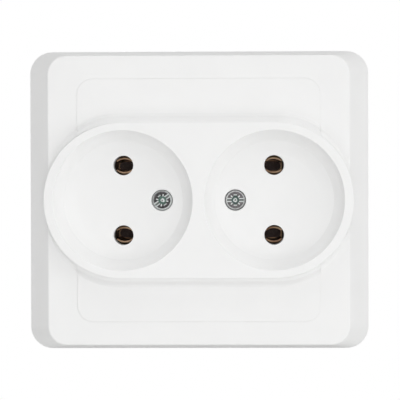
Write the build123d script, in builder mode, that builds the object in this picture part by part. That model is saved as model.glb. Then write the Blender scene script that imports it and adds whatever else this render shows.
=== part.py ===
from build123d import *

import os

os.makedirs("parts", exist_ok=True)

# A double flush wall socket. The wall is the plane y = 0 and the socket faces -y.
# "Out" is the distance from the wall towards the room, and is negative inside the wall box.
# x runs along the wall to the right, z runs up, and the origin is the middle of the box screws.

# Outlets
outlet_pitch = 41.0
pin_pitch = 19.0
pin_hole_d = 5.4

# Support strap
strap_width = 71.0
strap_room = 3.8
strap_corner_r = 4.0
strap_thickness = 1.0
strap_window_gap = 0.3
box_screw_pitch = 60.0
box_slot_length = 6.0
box_slot_width = 3.8

# Base
base_depth = 17.0
base_floor = 3.0
base_back_r = 0.8
tower_r = 5.2
bulge_width = 24.0
bulge_height = 41.0
bulge_corner_r = 2.5
flange_width = 56.0
flange_height = 46.0
flange_corner_r = 6.0
flange_thickness = 2.0

# Contact cover
contact_cover_thickness = 1.5

# Front insert: wells and oval
boss_height = 1.3
collar_wall = 1.3
collar_seat = 0.5
collar_gap = 0.2
well_floor = 2.0
well_floor_r = 12.5
well_foot_r = 16.2
well_foot_rise = 0.65
well_rim_r = 18.9
well_wall_sag = 0.33
well_depth = 4.6
rim_land = 2.3
rim_edge_r = 0.15
oval_pitch = 41.5
oval_height = 3.05
oval_edge_r = 0.35
cap_thickness = 1.8
cap_seam = 0.1
cup_wall = 0.7
cup_floor_r = 13.7
flank_spread = 2.7

# Front insert: square field
field_size = 66.0
field_corner_r = 4.3
field_edge_r = 0.1
field_step = 0.12
lip_thickness = 1.6
skirt_size = 62.0
skirt_corner_r = 3.0
skirt_wall = 1.4
skirt_depth = 2.7

# Frame
frame_width = 93.0
frame_height = 81.6
frame_corner_r = 6.1
plate_width = 81.8
end_slope = 1.5
plate_corner_r = 5.1
plate_thickness = 2.6
rim_height = 2.0
frame_wall = 2.0
frame_edge_r = 0.5
rim_round_r = 0.5
recess_gap = 0.01
window_gap = 0.15
pad_inset = 0.3
pad_spread = 2.3

# Cover screws and their nuts
cover_screw_x = 9.95
cover_screw_d = 3.0
cover_screw_length = 14.0
cover_head_d = 5.6
cover_head_height = 1.9
cover_head_edge_r = 0.45
cover_head_gap = 0.1
cover_slot_width = 1.15
cover_slot_floor = 0.4
cover_slot_depth = 0.7
cover_cross_length = 3.2
cover_cross_width = 0.9
cover_cross_floor = 2.0
cover_cross_depth = 1.1
cover_centre_d = 2.2
cover_centre_depth = 1.4
cover_tick_length = 3.4
cover_tick_width = 0.3
cover_tick_depth = 0.2
cover_slot_angles = {"left": 35.0, "right": 0.0}
cover_nut_width = 5.5
cover_nut_thickness = 2.4
screw_boss_wall = 1.3
nut_pocket_gap = 0.1
thread_gap = 0.05
screw_hole_gap = 0.2
screw_tip_chamfer = 0.4
tip_room = 1.5

# Strap rivets
rivet_x = 16.0
rivet_z = 18.6
rivet_d = 2.4
rivet_head_d = 4.4
rivet_head_height = 0.7

# Contact strips
strip_thickness = 0.8
strip_width = 6.0
strip_corner_r = 1.0
strip_end_room = 5.4
strip_bend_r = 0.5
channel_gap = 0.2
leaf_thickness = 0.4
leaf_r = 3.3
leaf_gap = 3.2
leaf_arc = 76.0
leaf_recess = 0.6
mouth_length = 1.4
mouth_flare = 0.15
pin_opening_length = 4.6
pin_opening_width = 2.6

# Terminals
terminal_pitch = 9.2
clamp_edge_gap = 0.9
riser_room = 3.1
tab_width = 17.2
tab_relief = 0.6
pad_gap = 0.3
pad_out = -5.0
chamber_width = 18.6
chamber_wall = 1.2
clamp_width = 8.0
clamp_height = 5.6
clamp_thickness = 1.2
clamp_corner_r = 0.8
clamp_groove_width = 0.8
clamp_groove_depth = 0.25
clamp_groove_offset = 2.9
terminal_screw_d = 3.5
terminal_screw_length = 7.0
terminal_head_d = 5.8
terminal_head_height = 2.2
terminal_head_edge_r = 0.35
terminal_slot_width = 0.9
terminal_slot_depth = 1.0
terminal_hole_gap = 0.15
access_gap = 0.2
wire_window_width = 5.0

# Claws
claw_screw_x = 23.5
claw_screw_d = 4.0
claw_screw_end = -18.5
claw_head_d = 7.0
claw_head_height = 2.2
claw_head_edge_r = 0.4
claw_head_gap = 0.05
claw_slot_width = 1.0
claw_slot_depth = 1.1
claw_hole_gap = 0.2
claw_travel = 4.2
claw_sheet = 1.2
claw_bend_r = 0.6
claw_width = 7.6
claw_groove_gap = 0.3
claw_groove_floor = 20.5
claw_lug_out = -13.0
claw_lug_inner = 15.5
claw_reach = 28.2
claw_arm_length = 6.5
claw_tooth = 1.3
claw_tooth_gap = 3.0
claw_notch_depth = 2.0
claw_ramp_gap = 0.1
claw_nut_width = 7.0
claw_nut_thickness = 2.7
claw_nut_gap = 0.1
head_notch_gap = 0.4

# Levels, as distances out from the wall
strap_front = strap_thickness
flange_front = strap_front + flange_thickness
contact_cover_front = flange_front + contact_cover_thickness
collar_back = flange_front - collar_seat
cup_back = contact_cover_front + boss_height
well_bottom = cup_back + well_floor
oval_top = well_bottom + well_depth
field_front = oval_top - oval_height
plate_front = field_front - field_step
plate_back = plate_front - plate_thickness
lip_back = field_front - lip_thickness
cap_back = oval_top - cap_thickness
pad_top = cap_back - cap_seam
skirt_back = lip_back - skirt_depth
strip_back = base_floor - base_depth
strip_front = strip_back + strip_thickness
leaf_front = flange_front - leaf_recess
pad_back = pad_out - strip_thickness
clamp_front = pad_out + clamp_thickness
cover_nut_back = flange_front - cover_nut_thickness
cover_head_back = well_bottom - cover_head_height
cover_screw_tip = cover_head_back - cover_screw_length
claw_lug_back = claw_lug_out - claw_sheet
claw_nut_front = claw_lug_back - claw_nut_gap
claw_head_back = strap_front + claw_head_gap

# Places and sizes that follow from the ones above
outlet_x = outlet_pitch / 2
pin_z = pin_pitch / 2
pin_hole_r = pin_hole_d / 2
oval_r = well_rim_r + rim_land
oval_length = oval_pitch + 2 * oval_r
cup_rim_r = well_rim_r + cup_wall
plate_height = frame_height - 2 * end_slope
strap_height = frame_height - 2 * (frame_wall + strap_room)
collar_r = pin_hole_r + collar_wall
screw_boss_r = cover_head_d / 2 + cover_head_gap + screw_boss_wall
strip_length = outlet_pitch + strip_end_room
channel_width = strip_width + 2 * channel_gap
channel_length = strip_length + 2 * channel_gap
chamber_edge_z = bulge_height / 2 - chamber_wall
terminal_z = chamber_edge_z - clamp_edge_gap - clamp_height / 2
strip_edge_z = pin_z + strip_width / 2
riser_edge_z = min(strip_edge_z, terminal_z - riser_room)
riser_mid_z = riser_edge_z - strip_thickness / 2
bend_outer_r = strip_bend_r + strip_thickness
bend_room = strip_bend_r + channel_gap
pad_edge_z = chamber_edge_z - pad_gap
claw_groove_width = claw_width + 2 * claw_groove_gap
notch_x = claw_screw_x - claw_head_d / 2 - head_notch_gap
outlet_centres = [(-outlet_x, 0), (outlet_x, 0)]
pin_points = [(x, z) for x in (-outlet_x, outlet_x) for z in (-pin_z, pin_z)]
cover_screw_points = [(-cover_screw_x, 0), (cover_screw_x, 0)]
rivet_points = [(x, z) for x in (-rivet_x, rivet_x) for z in (-rivet_z, rivet_z)]
terminal_x = terminal_pitch / 2
terminal_points = [(x, z) for x in (-terminal_x, terminal_x) for z in (-terminal_z, terminal_z)]
sides = {"left": -1, "right": 1}
levels = {"upper": 1, "lower": -1}


def out(distance):
    """Plane parallel to the wall that looks into the room: u along x, v along z."""
    return Plane.XZ.offset(distance)


def standing(x=0.0, z=0.0):
    """Level plane through an axis that runs straight out of the wall: u along x, v is the distance out."""
    return Plane(origin=(x, 0, z), x_dir=(1, 0, 0), z_dir=(0, 0, -1))


def upright():
    """Upright plane through the middle of the socket: u along z, v is the distance out."""
    return Plane(origin=(0, 0, 0), x_dir=(0, 0, 1), z_dir=(1, 0, 0))


def axis_out(x, z):
    """Axis that runs straight out of the wall."""
    return Axis((x, 0, z), (0, -1, 0))


def stretched_oval(spread, inset=0.0, roundness=0.6):
    """Outline of the oval, pulled apart upwards and downwards by the spread."""
    RectangleRounded(oval_length - 2 * inset, 2 * (oval_r + spread), oval_r - roundness)


def leaf_outline(x, z, facing):
    """Cross-section of one contact leaf: a band curved round a pin, facing up or down."""
    first_angle = facing * 90 - leaf_arc / 2
    with BuildLine() as band:
        inner = CenterArc((x, z), leaf_r, first_angle, leaf_arc)
        outer = CenterArc((x, z), leaf_r + leaf_thickness, first_angle, leaf_arc)
        Line(inner @ 0, outer @ 0)
        Line(inner @ 1, outer @ 1)
    make_face(band.edges())


def save(builder, name):
    """Label a finished piece and write its file."""
    builder.part.label = name
    export_step(builder.part, f"parts/{name}.step")


# Support strap: flat steel with a window for the base, a tongue for each claw screw,
# and an upright slot above and below for the box screws
base_width = outlet_pitch + 2 * tower_r
base_height = pin_pitch + 2 * tower_r
tongue_inner = claw_groove_floor + claw_groove_gap
with BuildPart() as support_strap:
    with BuildSketch(out(0)):
        RectangleRounded(strap_width, strap_height, strap_corner_r)
        RectangleRounded(
            base_width + 2 * strap_window_gap,
            base_height + 2 * strap_window_gap,
            tower_r + strap_window_gap,
            mode=Mode.SUBTRACT,
        )
        RectangleRounded(
            bulge_width + 2 * strap_window_gap,
            bulge_height + 2 * strap_window_gap,
            bulge_corner_r + strap_window_gap,
            mode=Mode.SUBTRACT,
        )
        for side in sides.values():
            tongue_length = base_width / 2 + 2 * strap_window_gap - tongue_inner
            with Locations((side * (tongue_inner + tongue_length / 2), 0)):
                Rectangle(tongue_length, claw_width)
            with Locations((side * claw_screw_x, 0)):
                Circle(claw_screw_d / 2 + claw_hole_gap, mode=Mode.SUBTRACT)
        with Locations((0, box_screw_pitch / 2), (0, -box_screw_pitch / 2)):
            SlotOverall(box_slot_length, box_slot_width, rotation=90, mode=Mode.SUBTRACT)
        with Locations(*rivet_points):
            Circle(rivet_d / 2 + thread_gap, mode=Mode.SUBTRACT)
    extrude(amount=strap_thickness)
save(support_strap, "support_strap")

# Base: moulded block with a flange on the strap, open channels for the contact strips, seats for
# the pin collars, terminal chambers above and below, and a ramped groove for the claw on either side
ramp_line = claw_lug_inner - claw_ramp_gap * 2**0.5 - claw_lug_back
ramp_top = claw_groove_floor - ramp_line
groove_reach = flange_width
with BuildPart() as base:
    with BuildSketch(out(-base_depth)):
        RectangleRounded(base_width, base_height, tower_r)
        RectangleRounded(bulge_width, bulge_height, bulge_corner_r)
    extrude(amount=base_depth + strap_front)
    fillet(base.faces().sort_by(Axis.Y)[-1].edges(), base_back_r)
    with BuildSketch(out(strap_front)):
        RectangleRounded(flange_width, flange_height, flange_corner_r)
    extrude(amount=flange_thickness)
    for level in levels.values():
        with BuildSketch(out(strip_back)):
            with Locations((0, level * pin_z)):
                RectangleRounded(channel_length, channel_width, strip_corner_r + channel_gap)
        extrude(amount=flange_front - strip_back, mode=Mode.SUBTRACT)
        with BuildSketch(out(pad_back)):
            with Locations((0, level * (pin_z + chamber_edge_z) / 2)):
                Rectangle(chamber_width, chamber_edge_z - pin_z)
        extrude(amount=flange_front - pad_back, mode=Mode.SUBTRACT)
        with BuildSketch(out(pad_back - bend_room)):
            with Locations((0, level * (riser_edge_z + bend_room / 2))):
                Rectangle(chamber_width, bend_room)
        extrude(amount=bend_room, mode=Mode.SUBTRACT)
        with BuildSketch(out(pad_out)):
            for x in (-terminal_x, terminal_x):
                with Locations((x, level * (bulge_height - chamber_wall) / 2)):
                    Rectangle(wire_window_width, 2 * chamber_wall)
        extrude(amount=-pad_out - strap_window_gap, mode=Mode.SUBTRACT)
    with BuildSketch(out(collar_back - collar_gap)):
        with Locations(*pin_points):
            Circle(collar_r + collar_gap)
    extrude(amount=collar_seat + collar_gap, mode=Mode.SUBTRACT)
    with BuildSketch(out(clamp_front)):
        with Locations(*terminal_points):
            Circle(terminal_screw_d / 2 + 2 * terminal_hole_gap)
    extrude(amount=-terminal_screw_length - tip_room, mode=Mode.SUBTRACT)
    with BuildSketch(out(cover_nut_back)):
        with Locations(*cover_screw_points):
            Rectangle(cover_nut_width + 2 * nut_pocket_gap, cover_nut_width + 2 * nut_pocket_gap)
    extrude(amount=cover_nut_thickness, mode=Mode.SUBTRACT)
    with BuildSketch(out(cover_screw_tip - tip_room)):
        with Locations(*cover_screw_points):
            Circle(cover_screw_d / 2 + screw_hole_gap)
    extrude(amount=flange_front - cover_screw_tip + tip_room, mode=Mode.SUBTRACT)
    with BuildSketch(out(strap_front)):
        with Locations(*rivet_points):
            Circle(rivet_d / 2 + thread_gap)
    extrude(amount=flange_thickness, mode=Mode.SUBTRACT)
    for side in sides.values():
        with BuildSketch(standing()):
            with BuildLine():
                Polyline(
                    (side * notch_x, flange_front),
                    (side * notch_x, strap_front),
                    (side * claw_groove_floor, strap_front),
                    (side * claw_groove_floor, ramp_top),
                    (side * (ramp_line - base_depth), -base_depth),
                    (side * groove_reach, -base_depth),
                    (side * groove_reach, flange_front),
                    close=True,
                )
            make_face()
        extrude(amount=claw_groove_width / 2, both=True, mode=Mode.SUBTRACT)
save(base, "base")

# Contact cover: insulating plate over the contacts, with holes for the pin collars and the screws,
# access to the terminal screws and a notch for each claw screw head
with BuildPart() as contact_cover:
    with BuildSketch(out(flange_front)):
        RectangleRounded(flange_width, flange_height, flange_corner_r)
        with Locations(*pin_points):
            Circle(collar_r + collar_gap, mode=Mode.SUBTRACT)
        with Locations(*cover_screw_points):
            Circle(cover_screw_d / 2 + screw_hole_gap, mode=Mode.SUBTRACT)
        with Locations(*terminal_points):
            Circle(terminal_head_d / 2 + access_gap, mode=Mode.SUBTRACT)
        with Locations(*rivet_points):
            Circle(rivet_d / 2 + thread_gap, mode=Mode.SUBTRACT)
        for side in sides.values():
            with Locations((side * (notch_x + groove_reach) / 2, 0)):
                Rectangle(groove_reach - notch_x, claw_groove_width, mode=Mode.SUBTRACT)
    extrude(amount=contact_cover_thickness)
save(contact_cover, "contact_cover")

# Strap rivets: four of them, headed over on the contact cover and behind the strap
with BuildPart() as strap_rivets:
    with BuildSketch(out(-rivet_head_height)):
        with Locations(*rivet_points):
            Circle(rivet_head_d / 2)
    extrude(amount=rivet_head_height)
    with BuildSketch(out(0)):
        with Locations(*rivet_points):
            Circle(rivet_d / 2)
    extrude(amount=contact_cover_front)
    with BuildSketch(out(contact_cover_front)):
        with Locations(*rivet_points):
            Circle(rivet_head_d / 2)
    extrude(amount=rivet_head_height)
    fillet(strap_rivets.edges().group_by(Axis.Y)[0], rivet_head_height / 2)
    fillet(strap_rivets.edges().group_by(Axis.Y)[-1], rivet_head_height / 2)
save(strap_rivets, "strap_rivets")

# Contact strips: bent brass, one for the upper pins and one for the lower pins, each with a pair of
# curved leaves round every pin opening, and a tab that steps up to a pad for two terminal screws
leaf_shift = leaf_r - leaf_gap / 2
mouth_out = leaf_front - mouth_length
strip_mid = strip_back + strip_thickness / 2
pad_mid = pad_out - strip_thickness / 2
for level_name, level in levels.items():
    with BuildPart() as contact_strip:
        with BuildSketch(out(strip_back)):
            with Locations((0, level * pin_z)):
                RectangleRounded(strip_length, strip_width, strip_corner_r)
            with Locations((0, level * (strip_edge_z + riser_edge_z - bend_outer_r) / 2)):
                tab_cut = strip_edge_z - riser_edge_z + bend_outer_r
                Rectangle(tab_width + 2 * tab_relief, tab_cut, mode=Mode.SUBTRACT)
            with Locations((-outlet_x, level * pin_z), (outlet_x, level * pin_z)):
                SlotOverall(pin_opening_length, pin_opening_width, mode=Mode.SUBTRACT)
        extrude(amount=strip_thickness)
        with BuildSketch(upright()):
            with BuildLine():
                FilletPolyline(
                    (level * (riser_edge_z - 2 * bend_outer_r), strip_mid),
                    (level * riser_mid_z, strip_mid),
                    (level * riser_mid_z, pad_mid),
                    (level * pad_edge_z, pad_mid),
                    radius=strip_bend_r + strip_thickness / 2,
                )
            trace(line_width=strip_thickness)
        extrude(amount=tab_width / 2, both=True)
        with BuildSketch(out(pad_back)):
            with Locations(*[(x, z) for x, z in terminal_points if z * level > 0]):
                Circle(terminal_screw_d / 2 + thread_gap)
        extrude(amount=strip_thickness, mode=Mode.SUBTRACT)
        for x in (-outlet_x, outlet_x):
            for facing in (-1, 1):
                leaf_z = level * pin_z - facing * leaf_shift
                mouth_z = leaf_z + facing * mouth_flare
                with BuildSketch(out(strip_front)):
                    leaf_outline(x, leaf_z, facing)
                extrude(amount=mouth_out - strip_front)
                with BuildSketch(out(mouth_out)):
                    leaf_outline(x, leaf_z, facing)
                with BuildSketch(out(leaf_front)):
                    leaf_outline(x, mouth_z, facing)
                loft(ruled=True)
    save(contact_strip, f"{level_name}_contact_strip")

# Terminals: a clamp plate on the pad and a slotted screw through it, four of each
for level_name, level in levels.items():
    for side_name, side in sides.items():
        place = (side * terminal_x, level * terminal_z)
        with BuildPart() as terminal_clamp:
            with BuildSketch(out(pad_out)):
                with Locations(place):
                    RectangleRounded(clamp_width, clamp_height, clamp_corner_r)
                    Circle(terminal_screw_d / 2 + terminal_hole_gap, mode=Mode.SUBTRACT)
            extrude(amount=clamp_thickness)
            with BuildSketch(out(pad_out)):
                for groove in (-clamp_groove_offset, clamp_groove_offset):
                    with Locations((place[0] + groove, place[1])):
                        Rectangle(clamp_groove_width, clamp_height)
            extrude(amount=clamp_groove_depth, mode=Mode.SUBTRACT)
        save(terminal_clamp, f"terminal_clamp_{level_name}_{side_name}")

        with BuildPart() as terminal_screw:
            with BuildSketch(out(clamp_front - terminal_screw_length)):
                with Locations(place):
                    Circle(terminal_screw_d / 2)
            extrude(amount=terminal_screw_length)
            chamfer(terminal_screw.edges().group_by(Axis.Y)[-1], screw_tip_chamfer)
            with BuildSketch(out(clamp_front)):
                with Locations(place):
                    Circle(terminal_head_d / 2)
            extrude(amount=terminal_head_height)
            fillet(terminal_screw.edges().group_by(Axis.Y)[0], terminal_head_edge_r)
            with BuildSketch(out(clamp_front + terminal_head_height)):
                with Locations(place):
                    Rectangle(terminal_head_d, terminal_slot_width)
            extrude(amount=-terminal_slot_depth, mode=Mode.SUBTRACT)
        save(terminal_screw, f"terminal_screw_{level_name}_{side_name}")

# Claws: bent steel with a slotted lug, bevelled where it climbs the ramp, and two teeth,
# each drawn forward by a nut on its own screw
claw_front = claw_lug_out + claw_arm_length
for side_name, side in sides.items():
    with BuildPart() as claw:
        with BuildSketch(standing()) as bent_sheet:
            with BuildLine():
                Polyline(
                    (side * claw_lug_inner, claw_lug_back),
                    (side * claw_reach, claw_lug_back),
                    (side * claw_reach, claw_front - 2 * claw_tooth),
                    (side * (claw_reach + claw_tooth), claw_front),
                    (side * (claw_reach - claw_sheet), claw_front - claw_tooth),
                    (side * (claw_reach - claw_sheet), claw_lug_out),
                    (side * (claw_lug_inner + claw_sheet), claw_lug_out),
                    close=True,
                )
            make_face()
            bend_inside = (side * (claw_reach - claw_sheet), claw_lug_out)
            bend_outside = (side * claw_reach, claw_lug_back)
            fillet(bent_sheet.vertices().sort_by_distance(bend_inside)[0], claw_bend_r)
            fillet(bent_sheet.vertices().sort_by_distance(bend_outside)[0], claw_bend_r + claw_sheet)
        extrude(amount=claw_width / 2, both=True)
        slot_half = claw_screw_d / 2 + claw_hole_gap
        with BuildSketch(out(claw_lug_back)):
            with Locations((side * (claw_screw_x - claw_travel / 2), 0)):
                SlotOverall(claw_travel + 2 * slot_half, 2 * slot_half)
        extrude(amount=claw_sheet, mode=Mode.SUBTRACT)
        with BuildSketch(out(claw_front - claw_notch_depth)):
            with Locations((side * claw_reach, 0)):
                Rectangle(4 * claw_sheet, claw_tooth_gap)
        extrude(amount=2 * claw_notch_depth, mode=Mode.SUBTRACT)
    save(claw, f"claw_{side_name}")

    with BuildPart() as claw_nut:
        with BuildSketch(out(claw_nut_front)):
            with Locations((side * claw_screw_x, 0)):
                Rectangle(claw_nut_width, claw_width)
                Circle(claw_screw_d / 2 + thread_gap, mode=Mode.SUBTRACT)
        extrude(amount=-claw_nut_thickness)
    save(claw_nut, f"claw_nut_{side_name}")

    with BuildPart() as claw_screw:
        with BuildSketch(out(claw_screw_end)):
            with Locations((side * claw_screw_x, 0)):
                Circle(claw_screw_d / 2)
        extrude(amount=claw_head_back - claw_screw_end)
        chamfer(claw_screw.edges().group_by(Axis.Y)[-1], screw_tip_chamfer)
        with BuildSketch(out(claw_head_back)):
            with Locations((side * claw_screw_x, 0)):
                Circle(claw_head_d / 2)
        extrude(amount=claw_head_height)
        fillet(claw_screw.edges().group_by(Axis.Y)[0], claw_head_edge_r)
        with BuildSketch(out(claw_head_back + claw_head_height)):
            with Locations((side * claw_screw_x, 0)):
                Rectangle(claw_head_d, claw_slot_width)
        extrude(amount=-claw_slot_depth, mode=Mode.SUBTRACT)
    save(claw_screw, f"claw_screw_{side_name}")

# Raised pads of the frame, one at either end, that fill the space under the overhanging oval:
# a concave foot climbs from the plate to the underside of the oval
window_size = skirt_size + 2 * window_gap
recess_size = field_size + 2 * recess_gap
recess_corner_r = field_corner_r + recess_gap
pad_height = pad_top - plate_front
pad_steps = ((-0.1, 1.12), (0.06, 0.78), (0.18, 0.5), (0.4, 0.24), (0.7, 0.08), (1.0, 0.0))
with BuildPart() as end_pads:
    for rise, share in pad_steps:
        with BuildSketch(out(plate_front + rise * pad_height)):
            stretched_oval(share * pad_spread, pad_inset, pad_inset)
    loft()
    with BuildSketch(out(plate_back)):
        stretched_oval(0, pad_inset, pad_inset)
    extrude(amount=plate_thickness)
    with BuildSketch(out(plate_back)):
        RectangleRounded(window_size, window_size, skirt_corner_r)
        SlotCenterToCenter(outlet_pitch, 2 * (cup_rim_r + window_gap))
    extrude(amount=oval_top - plate_back, mode=Mode.SUBTRACT)
    with BuildSketch(out(lip_back)):
        RectangleRounded(recess_size, recess_size, recess_corner_r)
    extrude(amount=oval_top - lip_back, mode=Mode.SUBTRACT)

# Frame: hollow moulding with sloped sides, a window and a recess for the insert, and the end pads
with BuildPart() as frame:
    with BuildSketch(out(0)):
        RectangleRounded(frame_width, frame_height, frame_corner_r)
    extrude(amount=rim_height)
    with BuildSketch(out(rim_height)):
        RectangleRounded(frame_width, frame_height, frame_corner_r)
    with BuildSketch(out(plate_front)):
        RectangleRounded(plate_width, plate_height, plate_corner_r)
    loft()
    fillet(frame.faces().sort_by(Axis.Y)[0].edges(), frame_edge_r)
    fillet(frame.edges().filter_by_position(Axis.Y, -rim_height, -rim_height), rim_round_r)
    with BuildSketch(out(0)):
        RectangleRounded(
            frame_width - 2 * frame_wall, frame_height - 2 * frame_wall, frame_corner_r - frame_wall
        )
    extrude(amount=rim_height, mode=Mode.SUBTRACT)
    with BuildSketch(out(rim_height)):
        RectangleRounded(
            frame_width - 2 * frame_wall, frame_height - 2 * frame_wall, frame_corner_r - frame_wall
        )
    with BuildSketch(out(plate_back)):
        RectangleRounded(
            plate_width - 2 * frame_wall, plate_height - 2 * frame_wall, plate_corner_r - frame_wall
        )
    loft(mode=Mode.SUBTRACT)
    with BuildSketch(out(plate_back)):
        RectangleRounded(window_size, window_size, skirt_corner_r)
        SlotCenterToCenter(outlet_pitch, 2 * (cup_rim_r + window_gap))
    extrude(amount=plate_thickness, mode=Mode.SUBTRACT)
    with BuildSketch(out(lip_back)):
        RectangleRounded(recess_size, recess_size, recess_corner_r)
    extrude(amount=plate_front - lip_back, mode=Mode.SUBTRACT)
    add(end_pads.part)
save(frame, "frame")

# Square field of the insert, with a softened front edge
with BuildPart() as field:
    with BuildSketch(out(lip_back)):
        RectangleRounded(field_size, field_size, field_corner_r)
    extrude(amount=lip_thickness)
    fillet(field.faces().sort_by(Axis.Y)[0].edges(), field_edge_r)

# Flank of the oval above and below: concave at the foot, rounded over at the top,
# and cut off at the sides of the field
flank_steps = ((-0.05, 1.1), (0.05, 0.76), (0.2, 0.57), (0.45, 0.42), (0.66, 0.22), (0.8, -0.12))
with BuildPart() as flank:
    for rise, share in flank_steps:
        with BuildSketch(out(field_front + rise * oval_height)):
            stretched_oval(share * flank_spread)
    loft()
    with BuildSketch(out(lip_back)):
        Rectangle(field_size - 2 * field_edge_r, field_size)
    extrude(amount=oval_top - lip_back, mode=Mode.INTERSECT)

# Front insert: the field lies in the frame and carries the oval with its two dished wells; behind
# them, screw bosses stand on the contact cover and pin collars reach through it round the leaves
skirt_inside = skirt_size - 2 * skirt_wall
with BuildPart() as front_insert:
    with BuildSketch(out(cap_back)):
        SlotCenterToCenter(oval_pitch, 2 * oval_r)
    extrude(amount=cap_thickness)
    fillet(front_insert.faces().sort_by(Axis.Y)[0].edges(), oval_edge_r)
    add(field.part)
    add(flank.part)
    for x, z in outlet_centres:
        with BuildSketch(standing(x, z)):
            with BuildLine():
                cup_floor = Line((0, cup_back), (cup_floor_r, cup_back))
                cup_side = TangentArc(cup_floor @ 1, (cup_rim_r, cap_back), tangent=(1, 0))
                Polyline(cup_side @ 1, (0, cap_back), cup_floor @ 0)
            make_face()
        revolve(axis=axis_out(x, z))
        with BuildSketch(standing(x, z)):
            with BuildLine():
                floor = Line((0, well_bottom), (well_floor_r, well_bottom))
                dish = TangentArc(floor @ 1, (well_foot_r, well_bottom + well_foot_rise), tangent=(1, 0))
                wall = SagittaArc(dish @ 1, (well_rim_r, oval_top), -well_wall_sag)
                Polyline(wall @ 1, (0, oval_top), floor @ 0)
            make_face()
        revolve(axis=axis_out(x, z), mode=Mode.SUBTRACT)
    fillet(front_insert.faces().sort_by(Axis.Y)[0].inner_wires().edges(), rim_edge_r)
    with BuildSketch(out(skirt_back)):
        RectangleRounded(skirt_size, skirt_size, skirt_corner_r)
        RectangleRounded(skirt_inside, skirt_inside, skirt_corner_r - skirt_wall, mode=Mode.SUBTRACT)
    extrude(amount=skirt_depth)
    with BuildSketch(out(collar_back)):
        with Locations(*pin_points):
            Circle(collar_r)
    extrude(amount=cup_back - collar_back)
    with BuildSketch(out(contact_cover_front)):
        with Locations(*cover_screw_points):
            Circle(screw_boss_r)
    extrude(amount=cover_head_back - contact_cover_front)
    with BuildSketch(out(collar_back)):
        with Locations(*pin_points):
            Circle(pin_hole_r)
        with Locations(*cover_screw_points):
            Circle(cover_screw_d / 2 + screw_hole_gap)
    extrude(amount=well_bottom - collar_back, mode=Mode.SUBTRACT)
    with BuildSketch(out(cover_head_back)):
        with Locations(*cover_screw_points):
            Circle(cover_head_d / 2 + cover_head_gap)
    extrude(amount=well_depth, mode=Mode.SUBTRACT)
save(front_insert, "front_insert")

# Cover screws: plated, with a combined slot and cross recess, and the captive square nuts
for side_name, side in sides.items():
    place = (side * cover_screw_x, 0)
    slot_angle = cover_slot_angles[side_name]
    with BuildPart() as cover_screw:
        with BuildSketch(out(cover_screw_tip)):
            with Locations(place):
                Circle(cover_screw_d / 2)
        extrude(amount=cover_screw_length)
        with BuildSketch(out(cover_head_back)):
            with Locations(place):
                Circle(cover_head_d / 2)
        extrude(amount=cover_head_height)
        fillet(cover_screw.edges().group_by(Axis.Y)[0], cover_head_edge_r)
        chamfer(cover_screw.edges().group_by(Axis.Y)[-1], screw_tip_chamfer)
        for depth, width in ((0, cover_slot_width), (cover_slot_depth, cover_slot_floor)):
            with BuildSketch(out(well_bottom - depth)):
                with Locations(place):
                    Rectangle(cover_head_d, width, rotation=slot_angle)
        loft(ruled=True, mode=Mode.SUBTRACT)
        for depth, length in ((0, cover_cross_length), (cover_cross_depth, cover_cross_floor)):
            with BuildSketch(out(well_bottom - depth)):
                with Locations(place):
                    Rectangle(cover_cross_width, length, rotation=slot_angle)
        loft(ruled=True, mode=Mode.SUBTRACT)
        with BuildSketch(standing(*place)):
            with BuildLine():
                Polyline(
                    (0, well_bottom),
                    (cover_centre_d / 2, well_bottom),
                    (0, well_bottom - cover_centre_depth),
                    close=True,
                )
            make_face()
        revolve(axis=axis_out(*place), mode=Mode.SUBTRACT)
        with BuildSketch(out(well_bottom)):
            with Locations(place):
                Rectangle(cover_tick_length, cover_tick_width, rotation=slot_angle + 45)
                Rectangle(cover_tick_length, cover_tick_width, rotation=slot_angle - 45)
        extrude(amount=-cover_tick_depth, mode=Mode.SUBTRACT)
    save(cover_screw, f"cover_screw_{side_name}")

    with BuildPart() as cover_nut:
        with BuildSketch(out(cover_nut_back)):
            with Locations(place):
                Rectangle(cover_nut_width, cover_nut_width)
                Circle(cover_screw_d / 2 + thread_gap, mode=Mode.SUBTRACT)
        extrude(amount=cover_nut_thickness)
    save(cover_nut, f"cover_nut_{side_name}")
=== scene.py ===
from math import cos, pi, radians, sin, tau

import bmesh
import bpy
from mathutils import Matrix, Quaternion, Vector


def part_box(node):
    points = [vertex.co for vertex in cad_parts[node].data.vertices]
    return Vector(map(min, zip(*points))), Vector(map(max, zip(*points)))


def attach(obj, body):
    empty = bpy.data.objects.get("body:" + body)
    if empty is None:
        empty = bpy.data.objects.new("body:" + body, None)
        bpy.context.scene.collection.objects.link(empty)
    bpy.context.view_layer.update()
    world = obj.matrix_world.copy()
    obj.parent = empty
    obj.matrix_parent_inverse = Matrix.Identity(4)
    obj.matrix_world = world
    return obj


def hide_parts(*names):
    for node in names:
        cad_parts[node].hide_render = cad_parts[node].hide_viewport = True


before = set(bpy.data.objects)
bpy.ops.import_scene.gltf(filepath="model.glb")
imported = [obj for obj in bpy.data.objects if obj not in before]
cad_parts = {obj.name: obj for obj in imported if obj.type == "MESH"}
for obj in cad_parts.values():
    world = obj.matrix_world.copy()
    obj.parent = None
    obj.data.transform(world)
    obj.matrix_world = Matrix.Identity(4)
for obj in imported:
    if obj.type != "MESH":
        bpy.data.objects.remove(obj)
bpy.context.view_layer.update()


# Support strap: flat zinc plated steel that carries everything. It was punched from sheet, so the
# rolling direction runs along it, and the plating is bright with cloudy, faintly tinted patches.
def start_finish(name):
    """A new node material: the material, its node tree, its shader and its object coordinates."""
    finish = bpy.data.materials.new(name)
    finish.use_nodes = True
    tree = finish.node_tree
    place = tree.nodes.new("ShaderNodeTexCoord").outputs["Object"]
    return finish, tree, tree.nodes["Principled BSDF"], place


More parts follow.
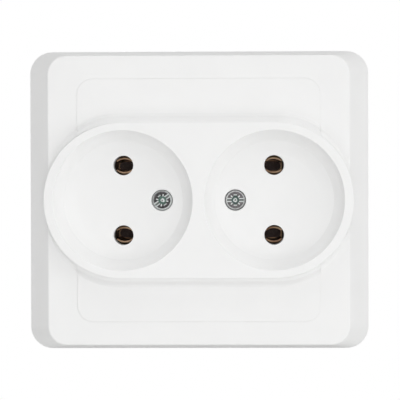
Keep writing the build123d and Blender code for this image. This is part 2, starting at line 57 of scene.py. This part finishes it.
def stretched(tree, place, stretch, centre=(0.0, 0.0, 0.0)):
    """Coordinates about a centre, squeezed along some axes so that a pattern becomes streaks."""
    mapping = tree.nodes.new("ShaderNodeMapping")
    mapping.inputs["Location"].default_value = [-c * s for c, s in zip(centre, stretch)]
    mapping.inputs["Scale"].default_value = stretch
    tree.links.new(place, mapping.inputs["Vector"])
    return mapping.outputs["Vector"]


def clouds(tree, place, grain, detail=2.0):
    """Soft noise whose patches are about one grain (in metres) across."""
    noise = tree.nodes.new("ShaderNodeTexNoise")
    noise.inputs["Scale"].default_value = 1.0 / grain
    noise.inputs["Detail"].default_value = detail
    tree.links.new(place, noise.inputs["Vector"])
    return noise.outputs["Fac"]


def crystals(tree, place, grain):
    """A random grey for each crystal (one grain across) of a plated surface."""
    cells = tree.nodes.new("ShaderNodeTexVoronoi")
    cells.inputs["Scale"].default_value = 1.0 / grain
    tree.links.new(place, cells.inputs["Vector"])
    return cells.outputs["Color"]


def tinted(tree, pattern, *stops):
    """Colours along a pattern: each stop is a position and a colour."""
    ramp = tree.nodes.new("ShaderNodeValToRGB")
    elements = ramp.color_ramp.elements
    while len(elements) < len(stops):
        elements.new(0.5)
    for element, (position, colour) in zip(elements, stops):
        element.position = position
        element.color = (*colour, 1.0)
    tree.links.new(pattern, ramp.inputs["Fac"])
    return ramp.outputs["Color"]


def between(tree, pattern, low, high):
    """Noise spread over the values low to high. Most noise lies between its usual bounds."""
    usual_low, usual_high = 0.3, 0.7
    spread = tree.nodes.new("ShaderNodeMapRange")
    spread.inputs["From Min"].default_value = usual_low
    spread.inputs["From Max"].default_value = usual_high
    spread.inputs["To Min"].default_value = low
    spread.inputs["To Max"].default_value = high
    tree.links.new(pattern, spread.inputs["Value"])
    return spread.outputs["Result"]


def relief(tree, shader, edge_radius, *layers):
    """Softened edges with layers of relief on top: each layer is a pattern and its height."""
    normal = tree.nodes.new("ShaderNodeBevel")
    normal.samples = 4
    normal.inputs["Radius"].default_value = edge_radius
    for pattern, height in layers:
        bump = tree.nodes.new("ShaderNodeBump")
        bump.inputs["Strength"].default_value = 1.0
        bump.inputs["Distance"].default_value = height
        tree.links.new(pattern, bump.inputs["Height"])
        tree.links.new(normal.outputs["Normal"], bump.inputs["Normal"])
        normal = bump
    tree.links.new(normal.outputs["Normal"], shader.inputs["Normal"])


def dress(finish, *names):
    """Give CAD nodes their finish."""
    for name in names:
        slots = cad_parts[name].data.materials
        for index in range(len(slots)):
            slots[index] = finish


def zinc_sheet():
    """Plated sheet: cloudy tints, rolling streaks along x and the spangle of the zinc."""
    edge_radius = 0.00015
    streak_height = 3e-6
    spangle_height = 1.5e-6
    along_x = (0.08, 1.0, 1.0)
    blue_grey, grey, straw = (0.47, 0.49, 0.51), (0.56, 0.565, 0.56), (0.6, 0.585, 0.54)
    finish, tree, shader, place = start_finish("zinc_sheet")
    patches = clouds(tree, place, grain=0.009, detail=3.0)
    rolled = clouds(tree, stretched(tree, place, along_x), grain=0.0003, detail=3.0)
    spangle = crystals(tree, place, grain=0.0007)
    colour = tinted(tree, patches, (0.34, blue_grey), (0.52, grey), (0.7, straw))
    tree.links.new(colour, shader.inputs["Base Color"])
    tree.links.new(between(tree, rolled, low=0.28, high=0.46), shader.inputs["Roughness"])
    shader.inputs["Metallic"].default_value = 1.0
    relief(tree, shader, edge_radius, (rolled, streak_height), (spangle, spangle_height))
    return finish


strap_finish = zinc_sheet()
dress(strap_finish, "support_strap")


# Base: one block of dark brown phenolic moulding, riveted to the strap. The powder shows as faint
# lighter flecks, and the surface is dull with a fine grain where the mould was worn.
def phenolic_moulding():
    """Moulded powder: flecks in the colour, a patchy gloss, a fine grain and shallow waves."""
    edge_radius = 0.0003
    grain_height = 1.2e-5
    wave_height = 6e-5
    ground, powder, fleck = (0.115, 0.068, 0.058), (0.15, 0.092, 0.078), (0.23, 0.155, 0.125)
    finish, tree, shader, place = start_finish("phenolic_moulding")
    flecks = clouds(tree, place, grain=0.0006, detail=4.0)
    gloss = clouds(tree, place, grain=0.004, detail=3.0)
    moulded = clouds(tree, place, grain=0.00035)
    waves = clouds(tree, place, grain=0.006)
    colour = tinted(tree, flecks, (0.35, ground), (0.6, powder), (0.72, fleck))
    tree.links.new(colour, shader.inputs["Base Color"])
    tree.links.new(between(tree, gloss, low=0.38, high=0.58), shader.inputs["Roughness"])
    relief(tree, shader, edge_radius, (moulded, grain_height), (waves, wave_height))
    return finish


dress(phenolic_moulding(), "base")


# Contact strips: rolled brass strip, pressed into leaves and a terminal pad. Tarnish has browned
# it in patches, and the rolling lines run along the strip.
def tarnished_brass():
    """Old brass: brown patches of tarnish, and rolling streaks along x."""
    edge_radius = 0.0001
    streak_height = 3e-6
    along_x = (0.1, 1.0, 1.0)
    brown, bronze, brass = (0.29, 0.17, 0.105), (0.44, 0.285, 0.18), (0.6, 0.42, 0.275)
    finish, tree, shader, place = start_finish("tarnished_brass")
    tarnish = clouds(tree, place, grain=0.0035, detail=4.0)
    rolled = clouds(tree, stretched(tree, place, along_x), grain=0.00025)
    colour = tinted(tree, tarnish, (0.36, brown), (0.5, bronze), (0.66, brass))
    tree.links.new(colour, shader.inputs["Base Color"])
    tree.links.new(between(tree, rolled, low=0.26, high=0.44), shader.inputs["Roughness"])
    shader.inputs["Metallic"].default_value = 1.0
    relief(tree, shader, edge_radius, (rolled, streak_height))
    return finish


dress(tarnished_brass(), "upper_contact_strip", "lower_contact_strip")


# Terminal clamps, cover nuts and rivets: small zinc plated steel pressings. The clamps lie on the
# brass pads, the nuts sit captive in the base, and the rivets hold base, cover and strap together.
terminal_places = [f"{level}_{side}" for level in ("upper", "lower") for side in ("left", "right")]
dress(strap_finish, *[f"terminal_clamp_{place}" for place in terminal_places])
dress(strap_finish, "cover_nut_left", "cover_nut_right", "strap_rivets")


# Contact cover: a grey plate of pressed insulating board over the contacts, held by the rivets. It
# is made of short fibres, which run a little more along it, so its face is mottled and dull.
def pressed_board():
    """Fibre board: one pattern of fibres gives the mottle, the dull gloss and the relief."""
    edge_radius = 0.0001
    fibre_height = 1.5e-5
    mostly_along_x = (0.35, 1.0, 1.6)
    dark, middle, pale = (0.36, 0.35, 0.335), (0.42, 0.41, 0.39), (0.5, 0.49, 0.465)
    finish, tree, shader, place = start_finish("pressed_board")
    fibres = clouds(tree, stretched(tree, place, mostly_along_x), grain=0.0005, detail=5.0)
    colour = tinted(tree, fibres, (0.32, dark), (0.5, middle), (0.68, pale))
    tree.links.new(colour, shader.inputs["Base Color"])
    tree.links.new(between(tree, fibres, low=0.55, high=0.75), shader.inputs["Roughness"])
    relief(tree, shader, edge_radius, (fibres, fibre_height))
    return finish


dress(pressed_board(), "contact_cover")


# Terminal screws and claw screws: turned steel with a slotted head, a rolled thread and bright
# zinc plating. Each one turns in its own body.
def bright_plating():
    """Bright zinc: cloudy tints, and faint marks drawn out along the screw."""
    edge_radius = 0.00008
    mark_height = 2e-6
    along_screw = (1.0, 0.15, 1.0)
    blue_grey, grey, straw = (0.5, 0.53, 0.54), (0.61, 0.62, 0.615), (0.66, 0.65, 0.6)
    finish, tree, shader, place = start_finish("bright_plating")
    patches = clouds(tree, place, grain=0.0022, detail=3.0)
    marks = clouds(tree, stretched(tree, place, along_screw), grain=0.00025)
    colour = tinted(tree, patches, (0.36, blue_grey), (0.54, grey), (0.7, straw))
    tree.links.new(colour, shader.inputs["Base Color"])
    tree.links.new(between(tree, marks, low=0.2, high=0.36), shader.inputs["Roughness"])
    shader.inputs["Metallic"].default_value = 1.0
    relief(tree, shader, edge_radius, (marks, mark_height))
    return finish


def math_step(tree, operation, *values):
    """One calculation: numbers are set, sockets are linked."""
    step = tree.nodes.new("ShaderNodeMath")
    step.operation = operation
    for socket, value in zip(step.inputs, values):
        if isinstance(value, (int, float)):
            socket.default_value = value
        else:
            tree.links.new(value, socket)
    return step.outputs[0]


def clamped(tree, value, low, high):
    """A value held between two others."""
    return math_step(tree, "MINIMUM", math_step(tree, "MAXIMUM", value, low), high)


def turned_shell(tree, sides, rows, radius_of, depth_of):
    """A closed shell of revolution about z, wrapped from a grid. radius_of takes the share of a turn and
    the share of the length, and depth_of the latter. The first and last rows lie on the axis."""
    weld_distance = 2e-6
    last_row = rows - 1.0
    grid = tree.nodes.new("GeometryNodeMeshGrid")
    grid.inputs["Size X"].default_value = 1.0
    grid.inputs["Size Y"].default_value = 1.0
    grid.inputs["Vertices X"].default_value = sides + 1
    grid.inputs["Vertices Y"].default_value = rows
    position = tree.nodes.new("GeometryNodeInputPosition")
    split = tree.nodes.new("ShaderNodeSeparateXYZ")
    tree.links.new(position.outputs[0], split.inputs[0])
    # The grid lies from -0.5 to 0.5 both ways: x becomes the turn, and y the row.
    turn = math_step(tree, "ADD", split.outputs["X"], 0.5)
    row = math_step(tree, "MULTIPLY", math_step(tree, "ADD", split.outputs["Y"], 0.5), last_row)
    share = math_step(tree, "DIVIDE", math_step(tree, "SUBTRACT", row, 1.0), last_row - 2.0)
    share = clamped(tree, share, 0.0, 1.0)
    after_first = math_step(tree, "GREATER_THAN", row, 0.5)
    before_last = math_step(tree, "LESS_THAN", row, last_row - 0.5)
    inside = math_step(tree, "MULTIPLY", after_first, before_last)
    radius = math_step(tree, "MULTIPLY", radius_of(turn, share), inside)
    angle = math_step(tree, "MULTIPLY", turn, tau)
    place = tree.nodes.new("ShaderNodeCombineXYZ")
    tree.links.new(math_step(tree, "MULTIPLY", radius, math_step(tree, "COSINE", angle)), place.inputs["X"])
    tree.links.new(math_step(tree, "MULTIPLY", radius, math_step(tree, "SINE", angle)), place.inputs["Y"])
    tree.links.new(depth_of(share), place.inputs["Z"])
    shaped = tree.nodes.new("GeometryNodeSetPosition")
    tree.links.new(grid.outputs["Mesh"], shaped.inputs["Geometry"])
    tree.links.new(place.outputs[0], shaped.inputs["Position"])
    merged = tree.nodes.new("GeometryNodeMergeByDistance")
    merged.inputs["Distance"].default_value = weld_distance
    tree.links.new(shaped.outputs[0], merged.inputs["Geometry"])
    return merged.outputs["Geometry"]


screw_sizes = (
    "Head Diameter",
    "Head Height",
    "Slot Width",
    "Slot Depth",
    "Shank Diameter",
    "Shank Length",
    "Thread Pitch",
    "Thread Depth",
    "Plain Length",
)


def slotted_screw_tree():
    """Geometry nodes for a slotted screw: z = 0 is under the head, and the shank goes to +z. It starts
    one bevelled edge deep inside the head, so that the two join into one shell."""
    # The bevelled edge is a share of the head's height, and the thread's flat root one of its pitch.
    edge_share = 0.16
    root_share = 1 / 6
    flank_slope = 2.0 / (1.0 - root_share)
    blade_overrun = 1.2
    # 35 and 48 sides meet only at the first corner, so that the two shells cross cleanly.
    shank_sides, shank_rows = 35, 240
    head_sides, head_rows = 48, 6
    tree = bpy.data.node_groups.new("slotted_screw", "GeometryNodeTree")
    for name in screw_sizes:
        tree.interface.new_socket(name, in_out="INPUT", socket_type="NodeSocketFloat")
    tree.interface.new_socket("Place", in_out="INPUT", socket_type="NodeSocketVector")
    tree.interface.new_socket("Finish", in_out="INPUT", socket_type="NodeSocketMaterial")
    tree.interface.new_socket("Screw", in_out="OUTPUT", socket_type="NodeSocketGeometry")
    size = tree.nodes.new("NodeGroupInput").outputs
    shank_r = math_step(tree, "MULTIPLY", size["Shank Diameter"], 0.5)
    head_r = math_step(tree, "MULTIPLY", size["Head Diameter"], 0.5)
    edge = math_step(tree, "MULTIPLY", size["Head Height"], edge_share)

    def shank_depth(share):
        """From inside the head to the tip."""
        length = math_step(tree, "ADD", size["Shank Length"], edge)
        return math_step(tree, "SUBTRACT", math_step(tree, "MULTIPLY", share, length), edge)

    def shank_radius(turn, share):
        """A plain neck, then a thread cut into the shank, and a bevelled tip."""
        depth = shank_depth(share)
        turns = math_step(tree, "SUBTRACT", math_step(tree, "DIVIDE", depth, size["Thread Pitch"]), turn)
        from_crest = math_step(tree, "SUBTRACT", math_step(tree, "FRACT", turns), 0.5)
        groove = math_step(tree, "MULTIPLY", math_step(tree, "ABSOLUTE", from_crest), flank_slope)
        groove = math_step(tree, "MINIMUM", groove, 1.0)
        threaded = math_step(tree, "GREATER_THAN", depth, size["Plain Length"])
        cut = math_step(tree, "MULTIPLY", math_step(tree, "MULTIPLY", groove, threaded), size["Thread Depth"])
        left = math_step(tree, "SUBTRACT", size["Shank Length"], depth)
        tip = math_step(tree, "MINIMUM", math_step(tree, "SUBTRACT", left, size["Thread Depth"]), 0.0)
        return math_step(tree, "ADD", math_step(tree, "SUBTRACT", shank_r, cut), tip)

    def head_depth(share):
        """The upper bevel, the side and the lower bevel take a third of the share each."""
        thirds = math_step(tree, "MULTIPLY", share, 3.0)
        upper = clamped(tree, thirds, 0.0, 1.0)
        middle = clamped(tree, math_step(tree, "SUBTRACT", thirds, 1.0), 0.0, 1.0)
        lower = clamped(tree, math_step(tree, "SUBTRACT", thirds, 2.0), 0.0, 1.0)
        body = math_step(tree, "SUBTRACT", size["Head Height"], math_step(tree, "MULTIPLY", edge, 2.0))
        edges = math_step(tree, "MULTIPLY", math_step(tree, "ADD", upper, lower), edge)
        fall = math_step(tree, "ADD", edges, math_step(tree, "MULTIPLY", middle, body))
        return math_step(tree, "SUBTRACT", fall, size["Head Height"])

    def head_radius(turn, share):
        """Smaller by the bevel at both ends, and the same all round, whatever the turn."""
        across = math_step(tree, "SUBTRACT", math_step(tree, "MULTIPLY", share, 2.0), 1.0)
        bevelled = math_step(tree, "GREATER_THAN", math_step(tree, "ABSOLUTE", across), 0.5)
        return math_step(tree, "SUBTRACT", head_r, math_step(tree, "MULTIPLY", bevelled, edge))

    shank = turned_shell(tree, shank_sides, shank_rows, shank_radius, shank_depth)
    head = turned_shell(tree, head_sides, head_rows, head_radius, head_depth)
    blade = tree.nodes.new("GeometryNodeMeshCube")
    blade_size = tree.nodes.new("ShaderNodeCombineXYZ")
    blade_length = math_step(tree, "MULTIPLY", size["Head Diameter"], blade_overrun)
    tree.links.new(blade_length, blade_size.inputs["X"])
    tree.links.new(size["Slot Width"], blade_size.inputs["Y"])
    tree.links.new(math_step(tree, "MULTIPLY", size["Slot Depth"], 2.0), blade_size.inputs["Z"])
    tree.links.new(blade_size.outputs[0], blade.inputs["Size"])
    lift = tree.nodes.new("ShaderNodeCombineXYZ")
    tree.links.new(math_step(tree, "MULTIPLY", size["Head Height"], -1.0), lift.inputs["Z"])
    raised = tree.nodes.new("GeometryNodeTransform")
    tree.links.new(blade.outputs["Mesh"], raised.inputs["Geometry"])
    tree.links.new(lift.outputs[0], raised.inputs["Translation"])
    blank = tree.nodes.new("GeometryNodeMeshBoolean")
    blank.operation = "UNION"
    blank.solver = "MANIFOLD"
    tree.links.new(shank, blank.inputs["Mesh 2"])
    tree.links.new(head, blank.inputs["Mesh 2"])
    slot = tree.nodes.new("GeometryNodeMeshBoolean")
    slot.operation = "DIFFERENCE"
    slot.solver = "MANIFOLD"
    tree.links.new(blank.outputs["Mesh"], slot.inputs["Mesh 1"])
    tree.links.new(raised.outputs[0], slot.inputs["Mesh 2"])
    point = tree.nodes.new("GeometryNodePoints")
    tree.links.new(size["Place"], point.inputs["Position"])
    driven = tree.nodes.new("GeometryNodeInstanceOnPoints")
    driven.inputs["Rotation"].default_value = (radians(-90), 0.0, 0.0)
    tree.links.new(point.outputs[0], driven.inputs["Points"])
    tree.links.new(slot.outputs["Mesh"], driven.inputs["Instance"])
    real = tree.nodes.new("GeometryNodeRealizeInstances")
    tree.links.new(driven.outputs[0], real.inputs[0])
    plated = tree.nodes.new("GeometryNodeSetMaterial")
    tree.links.new(real.outputs[0], plated.inputs["Geometry"])
    tree.links.new(size["Finish"], plated.inputs["Material"])
    tree.links.new(plated.outputs[0], tree.nodes.new("NodeGroupOutput").inputs[0])
    return tree


def make_screw(node, tree, finish, head_height, **sizes):
    """A threaded screw from the tree in place of a CAD node, riding on the body of the same name."""
    sharp_angle = radians(35)
    name = f"threaded_{node}"
    low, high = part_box(node)
    values = {label.replace("_", " ").title(): value for label, value in sizes.items()}
    values["Head Height"] = head_height
    values["Head Diameter"] = high.x - low.x
    values["Shank Length"] = high.y - low.y - head_height
    values["Place"] = ((low.x + high.x) / 2, low.y + head_height, (low.z + high.z) / 2)
    values["Finish"] = finish
    source = bpy.data.objects.new(name + "_source", bpy.data.meshes.new(name + "_source"))
    bpy.context.scene.collection.objects.link(source)
    modifier = source.modifiers.new("screw", "NODES")
    modifier.node_group = tree
    for socket in tree.interface.items_tree:
        if socket.in_out == "INPUT":
            modifier[socket.identifier] = values[socket.name]
    mesh = bpy.data.meshes.new_from_object(source.evaluated_get(bpy.context.evaluated_depsgraph_get()))
    bpy.data.objects.remove(source)
    faces = bmesh.new()
    faces.from_mesh(mesh)
    bmesh.ops.recalc_face_normals(faces, faces=faces.faces)
    faces.to_mesh(mesh)
    faces.free()
    mesh.shade_smooth()
    mesh.set_sharp_from_angle(angle=sharp_angle)
    screw = bpy.data.objects.new(name, mesh)
    bpy.context.scene.collection.objects.link(screw)
    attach(screw, node)
    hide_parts(node)


screw_finish = bright_plating()
screw_tree = slotted_screw_tree()
for place in terminal_places:
    make_screw(
        f"terminal_screw_{place}",
        screw_tree,
        screw_finish,
        head_height=0.0022,
        slot_width=0.0009,
        slot_depth=0.001,
        shank_diameter=0.0035,
        thread_pitch=0.0006,
        thread_depth=0.0003,
        plain_length=0.0004,
    )
for side in ("left", "right"):
    make_screw(
        f"claw_screw_{side}",
        screw_tree,
        screw_finish,
        head_height=0.0022,
        slot_width=0.001,
        slot_depth=0.0011,
        shank_diameter=0.004,
        thread_pitch=0.0007,
        thread_depth=0.00035,
        plain_length=0.0015,
    )


# Claws and their nuts: zinc plated steel, bent and toothed. The nut runs on the claw screw and
# pushes the claw up the ramp in the base.
dress(strap_finish, *[f"{piece}_{side}" for piece in ("claw", "claw_nut") for side in ("left", "right")])


# Frame and front insert: white urea mouldings with a satin gloss, held on by the cover screws. The
# mould gave them a faint orange peel, and the powder is very slightly uneven in tone.
def urea_moulding():
    """White moulding: a faint unevenness in tone and gloss, orange peel and a fine grain."""
    edge_radius = 0.00008
    peel_height = 2.5e-6
    grain_height = 6e-7
    dim_white, clear_white = (0.838, 0.838, 0.834), (0.852, 0.852, 0.848)
    finish, tree, shader, place = start_finish("urea_moulding")
    tone = clouds(tree, place, grain=0.014, detail=3.0)
    gloss = clouds(tree, place, grain=0.003, detail=3.0)
    peel = clouds(tree, place, grain=0.0011, detail=1.0)
    fine = clouds(tree, place, grain=0.00018)
    colour = tinted(tree, tone, (0.3, dim_white), (0.7, clear_white))
    tree.links.new(colour, shader.inputs["Base Color"])
    tree.links.new(between(tree, gloss, low=0.3, high=0.38), shader.inputs["Roughness"])
    relief(tree, shader, edge_radius, (peel, peel_height), (fine, grain_height))
    return finish


dress(urea_moulding(), "frame", "front_insert")


# Cover screws: plated screws that hold the front on the base, with a combined slot and cross recess.
# Their heads carry painted light: the flat is painted dark for the dark reflection it shows, a painted
# highlight runs round the edge with painted shade at the rim, the slot's flanks carry a painted highlight and
# its floor painted shade, and the recess is painted shade with a greenish tint.
cover_head_height = 0.0019
shadow, shine = (0.0, 0.0, 0.0), (1.0, 1.0, 1.0)
# Painted shade on the floor of the slot and in the middle of the head.
slot_floor_shade = (0.14, 0.155, 0.15)
# Painted highlight on the slot's flanks, round the head's edge and across the middle.
highlight_tone = (0.86, 0.89, 0.88)


def overlaid(tree, below, above, share):
    """One colour laid over another, as far as the share says. The mix has several sockets of the same
    name, so its factor, its two colours and its result are taken by number."""
    mix = tree.nodes.new("ShaderNodeMix")
    mix.data_type = "RGBA"
    tree.links.new(share, mix.inputs[0])
    tree.links.new(below, mix.inputs[6])
    tree.links.new(above, mix.inputs[7])
    return mix.outputs[2]


def plating_with_painted_light(node, flat_reflection_tones, ring_highlight, rim_shade, recess_shade, lit_side):
    """Plating for one screw, with painted light on its head. The side argument points, as x and z, to where
    the painted highlight round the head is strongest. On the head, radius is a share of the head's own, and
    depth a share of its height."""
    edge_radius = 0.00005
    spot_height = 3e-6
    middle_radius = 0.385
    middle_unevenness = 0.3
    recess_start = 0.02
    recess_dullness = 0.85
    # How much of the painted highlight round the head is kept: usually, and at least on the side away from
    # the light.
    usual_lit_share, least_lit_share = 0.75, 0.2
    finish, tree, shader, place = start_finish(f"plating_with_painted_light_{node}")
    low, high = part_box(node)
    face_centre = ((low.x + high.x) / 2, low.y, (low.z + high.z) / 2)
    head_r = (high.x - low.x) / 2
    reach = tree.nodes.new("ShaderNodeVectorMath")
    reach.operation = "LENGTH"
    across = stretched(tree, place, (1.0 / head_r, 0.0, 1.0 / head_r), face_centre)
    tree.links.new(across, reach.inputs[0])
    radius = reach.outputs["Value"]
    split = tree.nodes.new("ShaderNodeSeparateXYZ")
    inward = stretched(tree, place, (0.0, 1.0 / cover_head_height, 0.0), face_centre)
    tree.links.new(inward, split.inputs[0])
    depth = split.outputs["Y"]

    toward = tree.nodes.new("ShaderNodeVectorMath")
    toward.operation = "DOT_PRODUCT"
    tree.links.new(across, toward.inputs[0])
    toward.inputs[1].default_value = (lit_side[0], 0.0, lit_side[1])
    spots = clouds(tree, place, grain=0.0006, detail=3.0)
    wander = math_step(tree, "MULTIPLY_ADD", spots, middle_unevenness, -middle_unevenness / 2)
    uneven = math_step(tree, "ADD", radius, wander)

    # The flat of the head is painted dark, for the dark reflection it shows, in uneven spots.
    flat = tinted(tree, spots, (0.36, flat_reflection_tones[0]), (0.64, flat_reflection_tones[1]))
    # Down the slot's flanks and across the middle: painted highlight near the top, painted shade on the slot
    # floor, and painted shade with a greenish tint deeper in the recess.
    flanks = ((0.0, highlight_tone), (0.32, highlight_tone), (0.36, slot_floor_shade), (0.56, recess_shade), (0.95, highlight_tone))
    middle = ((0.05, slot_floor_shade), (0.1, highlight_tone), (0.17, highlight_tone), (0.23, recess_shade), (0.38, recess_shade))
    in_middle = math_step(tree, "LESS_THAN", radius, middle_radius)
    recess = overlaid(tree, tinted(tree, depth, *flanks), tinted(tree, uneven, *middle), in_middle)
    in_recess = math_step(tree, "GREATER_THAN", depth, recess_start)
    colour = overlaid(tree, flat, recess, in_recess)
    # A painted highlight ring round the edge of the head, stronger towards the lit side.
    ring = tinted(tree, radius, (0.79, shadow), (0.82, shine), (0.89, shine), (0.91, shadow))
    lit_share = clamped(tree, math_step(tree, "ADD", toward.outputs["Value"], usual_lit_share), least_lit_share, 1.0)
    ring = math_step(tree, "MULTIPLY", ring, lit_share)
    colour = overlaid(tree, colour, tinted(tree, spots, (0.3, ring_highlight), (0.7, highlight_tone)), ring)
    # Outside it, painted shade on the rim, where the head meets the well.
    rim = tinted(tree, radius, (0.9, shadow), (0.93, shine))
    colour = overlaid(tree, colour, tinted(tree, spots, (0.4, rim_shade), (0.9, ring_highlight)), rim)
    tree.links.new(colour, shader.inputs["Base Color"])
    tree.links.new(between(tree, spots, low=0.3, high=0.42), shader.inputs["Roughness"])
    metallic = math_step(tree, "MULTIPLY_ADD", in_recess, -recess_dullness, 1.0)
    tree.links.new(metallic, shader.inputs["Metallic"])
    relief(tree, shader, edge_radius, (spots, spot_height))
    return finish


# Each screw gets its own painted light: dark reflection on the flat, highlight ring, shade at the rim and in
# the recess, and the side the highlight favours.
dress(
    plating_with_painted_light(
        "cover_screw_left",
        flat_reflection_tones=((0.05, 0.052, 0.052), (0.12, 0.11, 0.115)),
        ring_highlight=(0.5, 0.52, 0.52),
        rim_shade=(0.36, 0.37, 0.365),
        recess_shade=(0.12, 0.21, 0.175),
        lit_side=(0.4, -0.5),
    ),
    "cover_screw_left",
)
dress(
    plating_with_painted_light(
        "cover_screw_right",
        flat_reflection_tones=((0.15, 0.142, 0.146), (0.24, 0.228, 0.233)),
        ring_highlight=(0.58, 0.57, 0.58),
        rim_shade=(0.06, 0.062, 0.062),
        recess_shade=(0.085, 0.14, 0.122),
        lit_side=(-0.15, -0.1),
    ),
    "cover_screw_right",
)


# Studio: a round pale floor well below the socket, a white surround that gives most light from the
# front, soft lamps in front, above, below and to both sides, and one behind for the mechanism.
white = (1.0, 1.0, 1.0, 1.0)


def floor_paint(shown):
    """Pale matt paint. To the camera alone it shows itself that much lighter, and lights nothing."""
    pale, paler = (0.84, 0.84, 0.835), (0.87, 0.87, 0.865)
    finish, tree, shader, place = start_finish("floor_paint")
    colour = tinted(tree, clouds(tree, place, grain=0.2), (0.3, pale), (0.7, paler))
    tree.links.new(colour, shader.inputs["Base Color"])
    shader.inputs["Roughness"].default_value = 0.7
    shader.inputs["Emission Color"].default_value = white
    to_camera = tree.nodes.new("ShaderNodeLightPath").outputs["Is Camera Ray"]
    tree.links.new(math_step(tree, "MULTIPLY", to_camera, shown), shader.inputs["Emission Strength"])
    return finish


floor_middle = Vector((0.0, -0.48, -0.7))
floor_radius = 4.9
floor_sides = 128
floor_mesh = bpy.data.meshes.new("floor")
floor_turns = [tau * side / floor_sides for side in range(floor_sides)]
floor_rim = [floor_middle + floor_radius * Vector((cos(turn), sin(turn), 0.0)) for turn in floor_turns]
floor_mesh.from_pydata(floor_rim, [], [range(floor_sides)])
floor_mesh.materials.append(floor_paint(shown=0.3))
floor = bpy.data.objects.new("floor", floor_mesh)
bpy.context.scene.collection.objects.link(floor)


def white_surround(front, behind):
    """A world that lights softly, with a strength for either side, and shows itself as white."""
    half_seam = 0.05
    world = bpy.data.worlds.new("white_surround")
    world.use_nodes = True
    tree = world.node_tree
    light = tree.nodes["Background"]
    light.inputs["Color"].default_value = white
    split = tree.nodes.new("ShaderNodeSeparateXYZ")
    tree.links.new(tree.nodes.new("ShaderNodeTexCoord").outputs["Generated"], split.inputs[0])
    sides = tree.nodes.new("ShaderNodeMapRange")
    sides.inputs["From Min"].default_value = -half_seam
    sides.inputs["From Max"].default_value = half_seam
    sides.inputs["To Min"].default_value = front
    sides.inputs["To Max"].default_value = behind
    tree.links.new(split.outputs["Y"], sides.inputs["Value"])
    tree.links.new(sides.outputs["Result"], light.inputs["Strength"])
    shown = tree.nodes.new("ShaderNodeBackground")
    shown.inputs["Color"].default_value = white
    shown.inputs["Strength"].default_value = 1.0
    rays = tree.nodes.new("ShaderNodeLightPath").outputs
    seen = math_step(tree, "MAXIMUM", rays["Is Camera Ray"], rays["Is Glossy Ray"])
    seen = math_step(tree, "MAXIMUM", seen, rays["Is Transmission Ray"])
    mix = tree.nodes.new("ShaderNodeMixShader")
    tree.links.new(seen, mix.inputs["Fac"])
    tree.links.new(light.outputs[0], mix.inputs[1])
    tree.links.new(shown.outputs[0], mix.inputs[2])
    tree.links.new(mix.outputs[0], tree.nodes["World Output"].inputs["Surface"])
    bpy.context.scene.world = world


def soft_lamp(name, place, size, level):
    """A square lamp that points at the socket. At level 1 it alone would show a colour as written.
    The satin front mirrors the surround, and the lamps leave no spots in it."""
    light = bpy.data.lights.new(name, "AREA")
    light.shape = "SQUARE"
    light.size = size
    light.energy = level * pi**2 * Vector(place).length_squared
    lamp = bpy.data.objects.new(name, light)
    lamp.location = place
    lamp.rotation_mode = "QUATERNION"
    lamp.rotation_quaternion = (-Vector(place)).to_track_quat("-Z", "Y")
    lamp.visible_glossy = False
    bpy.context.scene.collection.objects.link(lamp)


white_surround(front=0.704, behind=0.03)
soft_lamp("front_lamp", place=(0.15, -1.48, 0.1), size=0.6, level=0.21)
soft_lamp("top_lamp", place=(0.0, -0.39, 1.45), size=0.6, level=0.128)
soft_lamp("low_lamp", place=(0.0, -0.55, -0.58), size=0.4, level=0.195)
soft_lamp("right_lamp", place=(1.45, -0.39, 0.0), size=0.6, level=0.2)
soft_lamp("left_lamp", place=(-1.3, 0.75, 0.0), size=0.6, level=0.098)
soft_lamp("back_lamp", place=(-0.1, 0.65, 0.12), size=0.25, level=0.4)
bpy.context.scene.view_settings.view_transform = "Standard"


# Camera: almost square on to the wall, a little to the right of and above the middle. The focal
# length is in pixels of the 400 pixel wide photograph.
image_width = 400
focal_pixels = 1686.4
camera_place = (0.00963, -0.4663, 0.00467)
camera_yaw = radians(-1.161)
camera_pitch = radians(-0.579)
camera_roll = radians(-0.163)
lens = bpy.data.cameras.new("camera")
lens.sensor_width = 36.0
lens.lens = focal_pixels / image_width * lens.sensor_width
lens.clip_start = 0.01
camera = bpy.data.objects.new("camera", lens)
camera.location = camera_place
camera.rotation_mode = "QUATERNION"
sight = Vector((0.0, 1.0, 0.0))
sight.rotate(Quaternion((1.0, 0.0, 0.0), camera_pitch))
sight.rotate(Quaternion((0.0, 0.0, -1.0), camera_yaw))
camera.rotation_quaternion = sight.to_track_quat("-Z", "Y") @ Quaternion((0.0, 0.0, 1.0), camera_roll)
bpy.context.scene.collection.objects.link(camera)
bpy.context.scene.camera = camera
